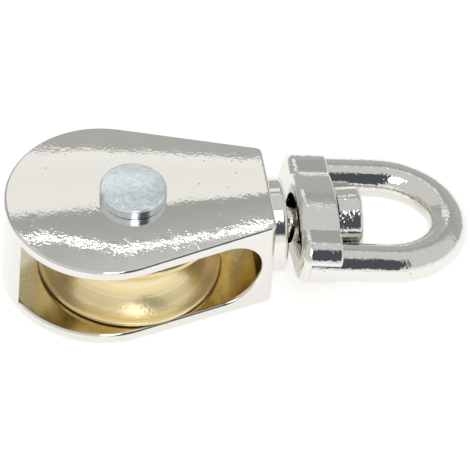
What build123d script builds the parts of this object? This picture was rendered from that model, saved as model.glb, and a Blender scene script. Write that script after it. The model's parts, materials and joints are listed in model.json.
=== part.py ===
from build123d import *
from math import cos, radians, sin, sqrt, tan
import os

# A swivel-eye pulley block: a brass sheave turns on a steel rivet between the two cheeks of a
# teardrop-shaped casting, and a D-shaped eye swivels on a headed pin at the narrow end.
# Millimetres. X runs from the axle towards the eye, Y across the cheeks' faces, Z along the axle.
# The origin is the middle of the flat of the rivet's lower head, on the axle's axis.
# The pieces are drawn about the middle plane of the sheave and raised at the end.

# Sheave
sheave_diameter = 32.0
sheave_thickness = 13.2
rim_land = 0.8
groove_depth = 4.7
rim_edge_round = 0.2
axle_running_clearance = 0.06

# Axle rivet
axle_diameter = 6.0
rivet_head_diameter = 11.7
rivet_head_height = 1.9
rivet_head_dome = 0.3
rivet_head_round = 0.35
formed_head_diameter = 10.4
formed_head_height = 1.2
formed_head_round = 0.6

# Housing, a casting with a cheek on each side of the sheave
cheek_side_clearance = 0.3
cheek_thickness = 2.95
round_end_dome_radius = 180.0
crown_dome_radius = 96.5
round_end_radius = 17.4
round_end_x = -5.05
flank_taper = 16.4
crown_x = 24.0
crown_corner_radius = 1.3
outer_edge_round = 0.55
end_wall = 2.0
crown_wall = 2.4
slot_edge_round = 0.6

# Collar on the crown, part of the casting
collar_diameter = 16.8
collar_length = 2.7
collar_edge_round = 0.8

# Swivel pin
pin_diameter = 6.0
pin_head_diameter = 12.1
pin_head_length = 4.2
pin_head_round = 0.7
pin_tail_diameter = 7.8
pin_tail_length = 1.2
pin_tail_clearance = 0.35
pin_tail_round = 0.4
seat_margin = 0.35

# Swivel eye: a flat base with a low hump round the pin, and a bow of oval bar
eye_gap = 1.3
eye_end_play = 0.85
eye_base_length = 7.2
eye_base_width = 26.6
eye_base_thickness = 9.0
eye_base_corner_radius = 3.6
hump_thickness = 11.8
hump_radius = 17.7
hump_foot_radius = 0.8
base_end_round = 1.6
base_rim_round = 0.5
bow_half_width = 10.25
bow_straight = 16.2
bow_nose = 12.2
bar_width = 7.1
bar_thickness = 6.5

# The pin rocks a little in the crown, and at rest it hangs at its lower stop.
# The eye's hole is larger than the pin, so the eye sits tipped on it and a little above its axis.
pin_rock = 1.5
rock_margin = 0.02
eye_tilt = 6.5
eye_lift = 0.95
eye_hole_margin = 0.05

# Places that follow from the sizes above
slot_half_height = sheave_thickness / 2 + cheek_side_clearance
crown_height = slot_half_height + cheek_thickness
slot_end_x = crown_x - crown_wall
slot_start_x = round_end_x - round_end_radius + end_wall
collar_end_x = crown_x + collar_length
eye_start_x = collar_end_x + eye_gap
eye_base_end_x = eye_start_x + eye_base_length
eye_base_middle_x = eye_start_x + eye_base_length / 2
pin_head_x = eye_base_end_x + eye_end_play
rock_pivot_x = (slot_end_x + collar_end_x) / 2
crown_bore_length = collar_end_x - slot_end_x
crown_bore_radius = (
    pin_diameter / 2 / cos(radians(pin_rock))
    + crown_bore_length / 2 * tan(radians(pin_rock))
    + rock_margin
)
eye_hole_radius = (
    pin_diameter / 2 / cos(radians(eye_tilt))
    + eye_base_length / 2 * tan(radians(eye_tilt))
    + eye_lift
    + eye_hole_margin
)
axle_height = crown_height + formed_head_height


def teardrop():
    """Outline of the cheeks: a round end, two tapered flanks and a square crown."""
    taper = radians(flank_taper)
    tangent_x = round_end_x + round_end_radius * sin(taper)
    tangent_y = round_end_radius * cos(taper)
    crown_half_width = tangent_y - (crown_x - tangent_x) * tan(taper)
    round_end = ThreePointArc(
        (tangent_x, tangent_y), (round_end_x - round_end_radius, 0), (tangent_x, -tangent_y)
    )
    sides = Polyline(
        (tangent_x, -tangent_y),
        (crown_x, -crown_half_width),
        (crown_x, crown_half_width),
        (tangent_x, tangent_y),
    )
    outline = make_face(round_end + sides)
    corners = outline.vertices().sort_by(Axis.X)[-2:]
    return fillet(corners, crown_corner_radius)


def domed_profile(dome_radius):
    """Section across the block: two shallow arcs, one for each cheek face, joined at the sides."""
    reach = round_end_radius + cheek_thickness
    edge_height = crown_height - dome_radius + sqrt(dome_radius**2 - reach**2)
    upper = ThreePointArc((-reach, edge_height), (0, crown_height), (reach, edge_height))
    lower = ThreePointArc((reach, -edge_height), (0, -crown_height), (-reach, -edge_height))
    sides = [
        Line((reach, edge_height), (reach, -edge_height)),
        Line((-reach, -edge_height), (-reach, edge_height)),
    ]
    return make_face(upper + lower + sides)


def cheek_domes():
    """The space between the two cheek faces: a shallow dome at the round end, rounder at the crown."""
    last_x = crown_x + crown_wall
    sections = []
    for x in (round_end_x - round_end_radius, round_end_x, (round_end_x + last_x) / 2, last_x):
        share = max(0, (x - round_end_x) / (crown_x - round_end_x))
        dome_radius = round_end_dome_radius + share * (crown_dome_radius - round_end_dome_radius)
        sections.append(Plane.YZ.offset(x) * domed_profile(dome_radius))
    right_of_round_end = Pos(round_end_x + 2 * crown_x, 0, 0) * Box(4 * crown_x, 4 * crown_x, 4 * crown_x)
    barrel = loft(sections) & right_of_round_end

    profile = domed_profile(round_end_dome_radius)
    half_profile = profile & Pos(crown_x, 0) * Rectangle(2 * crown_x, 4 * crown_height)
    dome = Pos(round_end_x, 0, 0) * revolve(Plane.XZ * half_profile, Axis.Z)
    return barrel + (dome - right_of_round_end)


def rope_slot():
    """The slot through the housing: square at the round end, full round at the crown."""
    straight_end_x = slot_end_x - slot_half_height
    profile = Plane.XZ * make_face(
        Polyline(
            (straight_end_x, slot_half_height),
            (slot_start_x, slot_half_height),
            (slot_start_x, -slot_half_height),
            (straight_end_x, -slot_half_height),
        )
        + ThreePointArc(
            (straight_end_x, -slot_half_height), (slot_end_x, 0), (straight_end_x, slot_half_height)
        )
    )
    return extrude(profile, amount=2 * round_end_radius, both=True)


def along_x(x, radius, length):
    """A round bar along X that starts at x."""
    return extrude(Plane.YZ.offset(x) * Circle(radius), length)


def make_housing():
    """Cheeks, end wall, crown and collar in one casting, with the slot and the two bores."""
    block = extrude(teardrop(), amount=crown_height + cheek_thickness, both=True)
    block = block & cheek_domes()
    rims = block.edges().filter_by(lambda edge: abs(edge.center().Z) > slot_half_height)
    block = fillet(rims, outer_edge_round)

    collar = along_x(crown_x - crown_wall / 2, collar_diameter / 2, collar_length + crown_wall / 2)
    collar = fillet(collar.edges().sort_by(Axis.X)[-1], collar_edge_round)
    slot = rope_slot()
    slotted = block - slot
    mouths = new_edges(block, slot, combined=slotted)
    lips = mouths.filter_by(Axis.Z, reverse=True)
    casting = fillet(lips, slot_edge_round) + collar

    axle_bore = extrude(Circle(axle_diameter / 2), amount=2 * crown_height, both=True)
    seat_radius = pin_tail_diameter / 2 + seat_margin
    tail_seat = along_x(slot_end_x - slot_half_height, seat_radius, slot_half_height)
    crown_bore = along_x(slot_end_x - crown_wall, crown_bore_radius, 2 * crown_wall + collar_length)
    return casting - axle_bore - tail_seat - crown_bore


def make_sheave():
    """The brass wheel: a round-bottomed groove between two thin rim lands, and an axle bore."""
    rim_radius = sheave_diameter / 2
    half = sheave_thickness / 2
    groove_half = half - rim_land
    sides = Polyline(
        (rim_radius, groove_half),
        (rim_radius, half),
        (0, half),
        (0, -half),
        (rim_radius, -half),
        (rim_radius, -groove_half),
    )
    groove = ThreePointArc(
        (rim_radius, -groove_half), (rim_radius - groove_depth, 0), (rim_radius, groove_half)
    )
    section = make_face(sides + groove)
    rim_corners = section.vertices().filter_by(lambda corner: corner.X > rim_radius - rim_edge_round)
    section = fillet(rim_corners, rim_edge_round)
    wheel = revolve(Plane.XZ * section, Axis.Z)
    bore = extrude(Circle(axle_diameter / 2 + axle_running_clearance), amount=sheave_thickness, both=True)
    return wheel - bore


def make_axle_rivet():
    """The rivet: a shallow domed head above, a smaller formed head below."""
    head_radius = rivet_head_diameter / 2
    formed_radius = formed_head_diameter / 2
    shank_radius = axle_diameter / 2
    top = crown_height + rivet_head_height
    bottom = -crown_height - formed_head_height
    dome = TangentArc((0, top + rivet_head_dome), (head_radius, top), tangent=(1, 0))
    sides = Polyline(
        (0, top + rivet_head_dome),
        (0, bottom),
        (formed_radius, bottom),
        (formed_radius, -crown_height),
        (shank_radius, -crown_height),
        (shank_radius, crown_height),
        (head_radius, crown_height),
        (head_radius, top),
    )
    section = make_face(dome + sides)
    head_corner = section.vertices().sort_by_distance((head_radius, top, 0))[0]
    section = fillet(head_corner, rivet_head_round)
    formed_corner = section.vertices().sort_by_distance((formed_radius, bottom, 0))[0]
    section = fillet(formed_corner, formed_head_round)
    return revolve(Plane.XZ * section, Axis.Z)


def make_swivel_pin():
    """The headed pin: head in the eye's opening, shank through base and crown, formed tail."""
    tail_end_x = slot_end_x - pin_tail_clearance
    tail = along_x(tail_end_x - pin_tail_length, pin_tail_diameter / 2, pin_tail_length)
    tail = fillet(tail.edges().sort_by(Axis.X)[0], pin_tail_round)
    shank_length = pin_head_x - tail_end_x + pin_tail_length
    shank = along_x(tail_end_x - pin_tail_length / 2, pin_diameter / 2, shank_length)
    head = along_x(pin_head_x, pin_head_diameter / 2, pin_head_length)
    head = fillet(head.edges().sort_by(Axis.X)[-1], pin_head_round)
    return tail + shank + head


def eye_base_section():
    """Section of the eye's base: a flat bar with rounded corners and a low hump on each face."""
    bar = RectangleRounded(eye_base_width, eye_base_thickness, eye_base_corner_radius)
    hump_centre = hump_radius - hump_thickness / 2
    humps = Pos(0, hump_centre) * Circle(hump_radius) & Pos(0, -hump_centre) * Circle(hump_radius)
    flat_width = eye_base_width - 2 * eye_base_corner_radius
    section = bar + (humps & Rectangle(flat_width, hump_thickness))
    feet = section.vertices().sort_by_distance((0, 0, 0))[:4]
    return fillet(feet, hump_foot_radius)


def make_swivel_eye():
    """The D-shaped eye: an oval bar bent round the opening, its legs joined by the bored base."""
    nose_x = eye_start_x + bow_straight
    leg_start_x = eye_start_x + base_end_round
    lower_leg = Line((leg_start_x, -bow_half_width), (nose_x, -bow_half_width))
    nose = EllipticalCenterArc((nose_x, 0), bow_nose, bow_half_width, start_angle=-90, arc_size=180)
    upper_leg = Line((nose_x, bow_half_width), (leg_start_x, bow_half_width))
    path = Wire([lower_leg.edge(), nose.edge(), upper_leg.edge()])
    bar = Plane(origin=(leg_start_x, -bow_half_width, 0), x_dir=(0, 1, 0), z_dir=(1, 0, 0))
    bow = sweep(bar * Ellipse(bar_width / 2, bar_thickness / 2), path)

    base = extrude(Plane.YZ.offset(eye_start_x) * eye_base_section(), eye_base_length)
    base = fillet(base.edges().group_by(Axis.X)[0], base_end_round)
    base = fillet(base.edges().group_by(Axis.X)[-1], base_rim_round)
    hole = along_x(eye_start_x - eye_base_length, eye_hole_radius, 3 * eye_base_length)
    return bow + base - hole


def tipped_on_pin(eye):
    """The eye as it sits on the pin: nose down, its base a little above the pin's axis."""
    return Pos(eye_base_middle_x, 0, eye_lift) * Rot(0, eye_tilt, 0) * Pos(-eye_base_middle_x, 0, 0) * eye


def hung(piece):
    """Turn a piece of the swivel down about the middle of the crown's bore, to the pin's lower stop."""
    return Pos(rock_pivot_x, 0, 0) * Rot(0, pin_rock, 0) * Pos(-rock_pivot_x, 0, 0) * piece


def main():
    parts = {
        "housing": make_housing(),
        "sheave": make_sheave(),
        "axle_rivet": make_axle_rivet(),
        "swivel_pin": hung(make_swivel_pin()),
        "swivel_eye": hung(tipped_on_pin(make_swivel_eye())),
    }
    os.makedirs("parts", exist_ok=True)
    for name, piece in parts.items():
        raised = Pos(0, 0, axle_height) * piece
        export_step(raised, f"parts/{name}.step")


main()
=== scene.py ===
import json
import math

import bmesh
import bpy
from mathutils import Matrix, Vector

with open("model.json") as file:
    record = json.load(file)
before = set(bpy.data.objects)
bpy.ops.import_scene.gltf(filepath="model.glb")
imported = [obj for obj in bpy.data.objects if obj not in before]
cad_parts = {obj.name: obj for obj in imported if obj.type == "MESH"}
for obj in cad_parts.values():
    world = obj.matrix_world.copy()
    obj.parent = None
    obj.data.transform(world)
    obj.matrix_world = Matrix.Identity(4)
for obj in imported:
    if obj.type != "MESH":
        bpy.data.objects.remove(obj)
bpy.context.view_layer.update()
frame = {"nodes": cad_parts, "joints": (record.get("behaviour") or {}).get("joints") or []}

# A nickel-plated pulley block on a white paper table. The pieces are the frame's own, and each
# gets its finish here. Metres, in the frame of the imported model: X towards the eye, Z along the
# axle, which runs through the origin.

MM = 0.001
joint_places = {joint["name"]: Vector(joint["pos_m"]) for joint in frame["joints"]}
axle_middle = joint_places["sheave_spin"]

# Camera: in front of the block, above it and a little to the left, with a long lens
camera_yaw = math.radians(11.299)
camera_elevation = math.radians(47.179)
camera_roll = math.radians(4.453)
camera_distance = 1500 * MM
camera_right = 18.215 * MM
camera_up = -0.304 * MM
camera_lens = 659.6
camera_sensor_width = 36.0
camera_nearest = 0.1
camera_farthest = 20.0

# Studio: a place in it is an angle sideways to the right, and an angle up from the front horizon
# that is counted over the top to the back. The angles are in degrees.

# The tent: its tones by their angle up, the heights above the horizon between which the white low
# down turns into it, and its dark side, an oval with a middle, a reach each way and a soft edge
tent_tones = [
    (0, "#FFFFFF"), (13, "#FFFFFF"), (20, "#DCDDDB"), (121, "#DCDDDB"), (124, "#C3C5C2"),
    (129, "#B3B5B3"), (137, "#AFB1AF"), (141, "#BDBFBD"), (174, "#BDBFBD"), (178, "#FFFFFF"),
]
white_below = 3
tent_above = 8
dark_side = (17.0, 46.0)
dark_reach = (15.0, 33.0)
dark_edge = 0.08
dark_tone = "#53575E"

# The lamps: the key lights the front, the strip draws the speckled line along the cheek, and the
# softbox lays the pale band across it. A radiance of 1 is white.
lamp_distance = 0.8
lamps = {
    "key_lamp": {
        "place": (3.8, 58.0), "spread": (13.0, 40.0), "roll": -8.0, "radiance": 2.0, "colour": "#FFFFFF",
    },
    "strip_lamp": {
        "place": (6.0, 123.7), "spread": (36.0, 0.20), "roll": -20.0, "radiance": 5.0, "colour": "#FFFFFF",
    },
    "softbox": {
        "place": (1.0, 135.2), "spread": (26.0, 10.4), "roll": 0.0, "radiance": 0.46, "colour": "#FFFCF8",
    },
}

# The table, and the glow that makes it white where it is seen
table_half_width = 3.0
table_glow = 0.50

# The slot through the casting: where it starts and ends, half its height, and how far past these
# its duller finish, its painted shade and its painted reflection of the brass sheave reach
slot_start_x = -20.45 * MM
slot_end_x = 21.6 * MM
slot_half_height = 6.9 * MM
slot_margin = 0.05 * MM


def linear(hex_colour):
    """Linear RGBA of an sRGB hex colour."""
    values = [int(hex_colour[i:i + 2], 16) / 255 for i in (1, 3, 5)]
    return [v / 12.92 if v <= 0.04045 else ((v + 0.055) / 1.055) ** 2.4 for v in values] + [1.0]


def add_node(tree, kind, inputs=None, **settings):
    """Adds one node and sets its properties.

    An input is a value, a socket, or a node that feeds its first output. None leaves it alone.
    """
    node = tree.nodes.new(kind)
    for name, value in settings.items():
        setattr(node, name, value)
    for name, value in (inputs or {}).items():
        if isinstance(value, bpy.types.Node):
            value = value.outputs[0]
        if isinstance(value, bpy.types.NodeSocket):
            tree.links.new(value, node.inputs[name])
        elif value is not None:
            node.inputs[name].default_value = value
    return node


def new_material(name):
    """An empty node material and its tree."""
    material = bpy.data.materials.new(name)
    material.use_nodes = True
    material.node_tree.nodes.clear()
    return material, material.node_tree


def make_camera():
    """The camera, aimed at the middle of the axle and moved off it to frame the whole block."""
    turn = (
        Matrix.Rotation(-camera_yaw, 4, "Z")
        @ Matrix.Rotation(math.pi / 2 - camera_elevation, 4, "X")
        @ Matrix.Rotation(camera_roll, 4, "Z")
    )
    place = Matrix.Translation((camera_right, camera_up, camera_distance))
    lens = bpy.data.cameras.new("camera")
    lens.lens = camera_lens
    lens.sensor_width = camera_sensor_width
    lens.clip_start = camera_nearest
    lens.clip_end = camera_farthest
    camera = bpy.data.objects.new("camera", lens)
    camera.matrix_world = Matrix.Translation(axle_middle) @ turn @ place
    bpy.context.scene.collection.objects.link(camera)
    bpy.context.scene.camera = camera


def studio_direction(sideways, angle):
    """Unit vector towards a place in the studio."""
    side, up = math.radians(sideways), math.radians(angle)
    return Vector((math.sin(side), -math.cos(side) * math.cos(up), math.cos(side) * math.sin(up)))


def make_lamp(name, place, spread, roll, radiance, colour):
    """A flat lamp that faces the block, as wide and high as its spread."""
    lamp = bpy.data.lights.new(name, "AREA")
    lamp.shape = "RECTANGLE"
    lamp.size = 2 * lamp_distance * math.tan(math.radians(spread[0] / 2))
    lamp.size_y = 2 * lamp_distance * math.tan(math.radians(spread[1] / 2))
    lamp.energy = 4 * lamp.size * lamp.size_y * radiance
    lamp.color = linear(colour)[:3]
    direction = studio_direction(*place)
    height = direction.cross(Vector((1, 0, 0))).normalized()
    across = height.cross(direction).normalized()
    aim = Matrix((across, height, direction)).transposed().to_4x4()
    turned = aim @ Matrix.Rotation(math.radians(roll), 4, "Z")
    holder = bpy.data.objects.new(name, lamp)
    holder.matrix_world = Matrix.Translation(axle_middle + lamp_distance * direction) @ turned
    bpy.context.scene.collection.objects.link(holder)


def tent_colour(tree, angle):
    """Grey of the tent, in soft bands from the front horizon over the top to the back one."""
    share = add_node(tree, "ShaderNodeMath", {0: angle, 1: math.pi}, operation="DIVIDE")
    ramp = add_node(tree, "ShaderNodeValToRGB", {0: share})
    elements = ramp.color_ramp.elements
    while len(elements) < len(tent_tones):
        elements.new(0.5)
    for element, (degrees, colour) in zip(elements, tent_tones):
        element.position = degrees / 180
        element.color = linear(colour)
    return ramp


def dark_share(tree, sideways, angle):
    """1 inside the tent's dark side, an oval with a soft edge, and 0 outside it."""
    offsets = []
    for value, middle, reach in zip((sideways, angle), dark_side, dark_reach):
        offsets.append(add_node(tree, "ShaderNodeMapRange", {
            "Value": value,
            "From Min": math.radians(middle - reach), "From Max": math.radians(middle + reach),
            "To Min": -1.0, "To Max": 1.0,
        }, clamp=False))
    off_middle = add_node(tree, "ShaderNodeCombineXYZ", {"X": offsets[0], "Y": offsets[1]})
    off_middle = add_node(tree, "ShaderNodeVectorMath", {0: off_middle}, operation="LENGTH")
    return add_node(tree, "ShaderNodeMapRange", {
        "Value": off_middle.outputs["Value"],
        "From Min": 1 - dark_edge, "From Max": 1 + dark_edge, "To Min": 1.0, "To Max": 0.0,
    })


def make_world():
    """A grey tent that turns white down at the table and has one dark side at the front right.

    The sine of the angle sideways stands for the angle, since the two are close near the front.
    """
    world = bpy.data.worlds.new("studio")
    bpy.context.scene.world = world
    world.use_nodes = True
    tree = world.node_tree
    tree.nodes.clear()
    direction = add_node(tree, "ShaderNodeTexCoord").outputs["Generated"]
    parts = add_node(tree, "ShaderNodeSeparateXYZ", {0: direction}).outputs
    forward = add_node(tree, "ShaderNodeMath", {0: parts["Y"], 1: -1.0}, operation="MULTIPLY")
    angle = add_node(tree, "ShaderNodeMath", {0: parts["Z"], 1: forward}, operation="ARCTAN2")
    tent = add_node(tree, "ShaderNodeMix", {
        0: dark_share(tree, parts["X"], angle), 6: tent_colour(tree, angle), 7: linear(dark_tone),
    }, data_type="RGBA").outputs[2]
    above_table = add_node(tree, "ShaderNodeMapRange", {
        "Value": parts["Z"],
        "From Min": math.sin(math.radians(white_below)), "From Max": math.sin(math.radians(tent_above)),
    })
    whole = add_node(tree, "ShaderNodeMix", {
        0: above_table, 6: linear("#FFFFFF"), 7: tent,
    }, data_type="RGBA").outputs[2]
    background = add_node(tree, "ShaderNodeBackground", {"Color": whole})
    add_node(tree, "ShaderNodeOutputWorld", {"Surface": background})


def matt_white_paper():
    """Matt white paper: it mirrors nothing, so it shows one even white and the soft shadow.

    The glow lifts it to white for the camera and in reflections, and lights nothing else.
    """
    material, tree = new_material("matt_white_paper")
    rays = add_node(tree, "ShaderNodeLightPath").outputs
    seen = add_node(tree, "ShaderNodeMath", {
        0: rays["Is Camera Ray"], 1: rays["Is Glossy Ray"],
    }, operation="MAXIMUM")
    seen = add_node(tree, "ShaderNodeMath", {0: seen, 1: rays["Is Transmission Ray"]}, operation="MAXIMUM")
    strength = add_node(tree, "ShaderNodeMath", {0: seen, 1: table_glow}, operation="MULTIPLY")
    paint = add_node(tree, "ShaderNodeBsdfDiffuse", {"Color": linear("#F2F2F2")})
    glow = add_node(tree, "ShaderNodeEmission", {"Strength": strength})
    shader = add_node(tree, "ShaderNodeAddShader", {0: paint, 1: glow})
    add_node(tree, "ShaderNodeOutputMaterial", {"Surface": shader})
    return material


def make_table():
    """The flat white table top that the block lies on."""
    mesh = bpy.data.meshes.new("table")
    form = bmesh.new()
    bmesh.ops.create_grid(form, x_segments=1, y_segments=1, size=table_half_width)
    form.to_mesh(mesh)
    form.free()
    mesh.materials.append(matt_white_paper())
    table = bpy.data.objects.new("table", mesh)
    bpy.context.scene.collection.objects.link(table)


def hills(tree, place, width, depth, detail, roughness, normal=None):
    """Low hills on a surface: their height between 0 and 1, and the normal they bend."""
    height = add_node(tree, "ShaderNodeTexNoise", {
        "Vector": place, "Scale": 1 / width, "Detail": detail, "Roughness": roughness,
    })
    bent = add_node(tree, "ShaderNodeBump", {"Height": height, "Distance": depth, "Normal": normal})
    return height, bent


def pits(tree, place, normal):
    """Small pits, one in less than half of the cells: 1 in a pit, 0 outside, and the bent normal."""
    spacing = 1.7 * MM
    inner_radius, outer_radius = 0.068 * MM, 0.153 * MM
    depth = 0.03 * MM
    empty_share = 0.55
    cells = add_node(tree, "ShaderNodeTexVoronoi", {"Vector": place, "Scale": 1 / spacing})
    spots = add_node(tree, "ShaderNodeMapRange", {
        "Value": cells.outputs["Distance"],
        "From Min": inner_radius / spacing, "From Max": outer_radius / spacing, "To Min": 1.0, "To Max": 0.0,
    })
    lot = add_node(tree, "ShaderNodeSeparateColor", {0: cells.outputs["Color"]})
    drawn = add_node(tree, "ShaderNodeMapRange", {
        "Value": lot, "From Min": empty_share, "From Max": empty_share + 0.05,
    })
    pitted = add_node(tree, "ShaderNodeMath", {0: spots, 1: drawn}, operation="MULTIPLY")
    bent = add_node(tree, "ShaderNodeBump", {
        "Height": pitted, "Distance": depth, "Normal": normal,
    }, invert=True)
    return pitted, bent


def slot_share(tree, place):
    """1 on the faces inside the slot through the casting, and 0 on all others.

    Faces that look out sideways, such as the flanks, are no part of the slot.
    """
    least_outwards, most_outwards = 0.10, 0.15
    middle = ((slot_start_x + slot_end_x) / 2, 0, axle_middle.z)
    half_size = ((slot_end_x - slot_start_x) / 2, 0, slot_half_height)
    offset = add_node(tree, "ShaderNodeVectorMath", {0: place, 1: middle}, operation="SUBTRACT")
    offset = add_node(tree, "ShaderNodeVectorMath", {0: offset}, operation="ABSOLUTE")
    past = add_node(tree, "ShaderNodeVectorMath", {0: offset, 1: half_size}, operation="SUBTRACT")
    past = add_node(tree, "ShaderNodeSeparateXYZ", {0: past}).outputs
    past = add_node(tree, "ShaderNodeMath", {0: past["X"], 1: past["Z"]}, operation="MAXIMUM")
    within = add_node(tree, "ShaderNodeMapRange", {
        "Value": past, "From Min": slot_margin, "From Max": 2 * slot_margin, "To Min": 1.0, "To Max": 0.0,
    })
    facing = add_node(tree, "ShaderNodeTexCoord").outputs["Normal"]
    outwards = add_node(tree, "ShaderNodeSeparateXYZ", {0: facing}).outputs["Y"]
    outwards = add_node(tree, "ShaderNodeMath", {0: outwards}, operation="ABSOLUTE")
    inside = add_node(tree, "ShaderNodeMapRange", {
        "Value": outwards,
        "From Min": least_outwards, "From Max": most_outwards, "To Min": 1.0, "To Max": 0.0,
    })
    return add_node(tree, "ShaderNodeMath", {0: within, 1: inside}, operation="MULTIPLY")


def dull_slot_with_painted_shade(tree, place, tone, dullness):
    """The slot's faces: duller where the plate is thin, darker with painted shade, and streaked.

    Towards the crown they turn golden, a painted reflection of the brass sheave. The streaks run
    along the axle. Gives the tone and the dullness of the whole casting.
    """
    thin_plate_dullness = 0.12
    streak_width = 0.9 * MM
    streak_stretch = 0.06
    reflection_from, reflection_to = slot_start_x + 2 * MM, slot_start_x + 9 * MM
    within = slot_share(tree, place)
    stretched = add_node(tree, "ShaderNodeMapping", {"Vector": place, "Scale": (1, 1, streak_stretch)})
    streaks = add_node(tree, "ShaderNodeTexNoise", {
        "Vector": stretched, "Scale": 1 / streak_width, "Detail": 3.0, "Roughness": 0.6,
    })
    # Painted shade: the slot's faces are darker than the rest of the plate.
    grey, painted_brass_reflection = [
        add_node(tree, "ShaderNodeMix", {
            0: streaks, 6: linear(dark), 7: linear(light),
        }, data_type="RGBA").outputs[2]
        for dark, light in (("#B9B29A", "#D8D2BE"), ("#B5A06A", "#DCCB9C"))
    ]
    # Painted reflection: towards the crown the faces turn golden, as if they mirrored the brass sheave.
    x = add_node(tree, "ShaderNodeSeparateXYZ", {0: place}).outputs["X"]
    brass_reflection_share = add_node(tree, "ShaderNodeMapRange", {
        "Value": x, "From Min": reflection_from, "From Max": reflection_to,
    })
    painted_shade_and_reflection = add_node(tree, "ShaderNodeMix", {0: brass_reflection_share, 6: grey, 7: painted_brass_reflection}, data_type="RGBA").outputs[2]
    tone = add_node(tree, "ShaderNodeMix", {0: within, 6: tone, 7: painted_shade_and_reflection}, data_type="RGBA").outputs[2]
    dullness = add_node(tree, "ShaderNodeMix", {0: within, 2: dullness, 3: thin_plate_dullness})
    return tone, dullness


def bright_nickel_plate(name, colour, pattern_shift, swell_depth, grain_depth, roughness, slotted=False):
    """Bright nickel plate over a zinc die casting or a steel pin.

    A warm grey mirror, which ripples like orange peel and has a few dark pits. The peel's real
    grains are about a fifth of a millimetre wide, and are drawn coarser so that they show.
    """
    swell_width = 3.0 * MM
    grain_width = 0.56 * MM
    material, tree = new_material(name)
    place = add_node(tree, "ShaderNodeTexCoord").outputs["Object"]
    moved = add_node(tree, "ShaderNodeMapping", {"Vector": place, "Location": [pattern_shift] * 3})
    swell, normal = hills(tree, moved, swell_width, swell_depth, 1.0, 0.4)
    normal = hills(tree, moved, grain_width, grain_depth, 1.0, 0.5, normal)[1]
    pitted, normal = pits(tree, moved, normal)
    tone = add_node(tree, "ShaderNodeMix", {
        0: pitted, 6: linear(colour), 7: linear("#8C8880"),
    }, data_type="RGBA").outputs[2]
    dullness = add_node(tree, "ShaderNodeMapRange", {
        "Value": swell, "From Min": 0.3, "From Max": 0.7,
        "To Min": roughness - 0.01, "To Max": roughness + 0.02,
    })
    # The slot's faces get a duller finish, painted shade and a painted reflection of the brass sheave.
    if slotted:
        tone, dullness = dull_slot_with_painted_shade(tree, place, tone, dullness)
    shader = add_node(tree, "ShaderNodeBsdfPrincipled", {
        "Base Color": tone, "Metallic": 1.0, "Roughness": dullness, "Normal": normal,
    })
    add_node(tree, "ShaderNodeOutputMaterial", {"Surface": shader})
    return material


def turned_brass():
    """Brass turned on a lathe: pale yellow and satin, with fine rings round the axle.

    A thin tarnish scatters a part of the light, so it is a little less than fully metallic. The
    real tool marks are about a tenth of a millimetre wide, and are drawn coarser so that they show.
    """
    ring_width, ring_depth = 0.8 * MM, 0.050 * MM
    mark_width, mark_depth = 0.55 * MM, 0.045 * MM
    material, tree = new_material("turned_brass")
    place = add_node(tree, "ShaderNodeTexCoord").outputs["Object"]
    parts = add_node(tree, "ShaderNodeSeparateXYZ", {0: place}).outputs
    off_axle = add_node(tree, "ShaderNodeCombineXYZ", {"X": parts["X"], "Y": parts["Y"]})
    radius = add_node(tree, "ShaderNodeVectorMath", {0: off_axle}, operation="LENGTH").outputs["Value"]
    profile = add_node(tree, "ShaderNodeCombineXYZ", {"X": radius, "Y": parts["Z"]})
    rings, normal = hills(tree, profile, ring_width, ring_depth, 3.0, 0.6)
    normal = hills(tree, place, mark_width, mark_depth, 2.0, 0.6, normal)[1]
    share = add_node(tree, "ShaderNodeMapRange", {"Value": rings, "From Min": 0.35, "From Max": 0.65})
    tone = add_node(tree, "ShaderNodeMix", {
        0: share, 6: linear("#EFD898"), 7: linear("#FDF0CA"),
    }, data_type="RGBA").outputs[2]
    shader = add_node(tree, "ShaderNodeBsdfPrincipled", {
        "Base Color": tone, "Metallic": 0.62, "Roughness": 0.25, "Normal": normal,
    })
    add_node(tree, "ShaderNodeOutputMaterial", {"Surface": shader})
    return material


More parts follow.
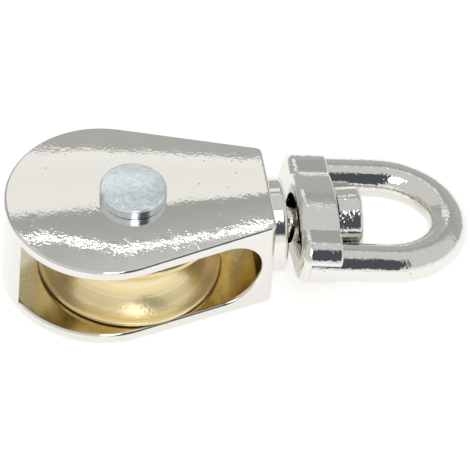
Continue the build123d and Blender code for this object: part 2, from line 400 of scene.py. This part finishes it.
def zinc_plated_steel():
    """Zinc-plated steel, tumbled before it was plated: satin blue-grey with a soft mottle."""
    mottle_width = 1.1 * MM
    dent_width, dent_depth = 0.5 * MM, 0.020 * MM
    material, tree = new_material("zinc_plated_steel")
    place = add_node(tree, "ShaderNodeTexCoord").outputs["Object"]
    mottle = add_node(tree, "ShaderNodeTexNoise", {
        "Vector": place, "Scale": 1 / mottle_width, "Detail": 4.0, "Roughness": 0.7,
    })
    share = add_node(tree, "ShaderNodeMapRange", {"Value": mottle, "From Min": 0.3, "From Max": 0.7})
    tone = add_node(tree, "ShaderNodeMix", {
        0: share, 6: linear("#CEDAE3"), 7: linear("#F4F9FD"),
    }, data_type="RGBA").outputs[2]
    normal = hills(tree, place, dent_width, dent_depth, 3.0, 0.6)[1]
    shader = add_node(tree, "ShaderNodeBsdfPrincipled", {
        "Base Color": tone, "Metallic": 1.0, "Roughness": 0.19, "Normal": normal,
    })
    add_node(tree, "ShaderNodeOutputMaterial", {"Surface": shader})
    return material


def dress_nodes():
    """Gives each piece of the frame its finish."""
    finishes = {
        "housing": bright_nickel_plate(
            "nickel_plated_zinc_casting", "#E5E3DE", pattern_shift=0.0,
            swell_depth=0.012 * MM, grain_depth=0.0058 * MM, roughness=0.035, slotted=True,
        ),
        "sheave": turned_brass(),
        "axle_rivet": zinc_plated_steel(),
        "swivel_pin": bright_nickel_plate(
            "nickel_plated_steel_pin", "#E2E0DB", pattern_shift=0.3,
            swell_depth=0.030 * MM, grain_depth=0.035 * MM, roughness=0.06,
        ),
        "swivel_eye": bright_nickel_plate(
            "nickel_plated_zinc_eye", "#E5E3DE", pattern_shift=0.6,
            swell_depth=0.035 * MM, grain_depth=0.042 * MM, roughness=0.045,
        ),
    }
    for name, material in finishes.items():
        slots = frame["nodes"][name].data.materials
        slots.clear()
        slots.append(material)


make_camera()
make_world()
make_table()
for name, lamp in lamps.items():
    make_lamp(name, **lamp)
dress_nodes()
bpy.context.scene.view_settings.view_transform = "Standard"
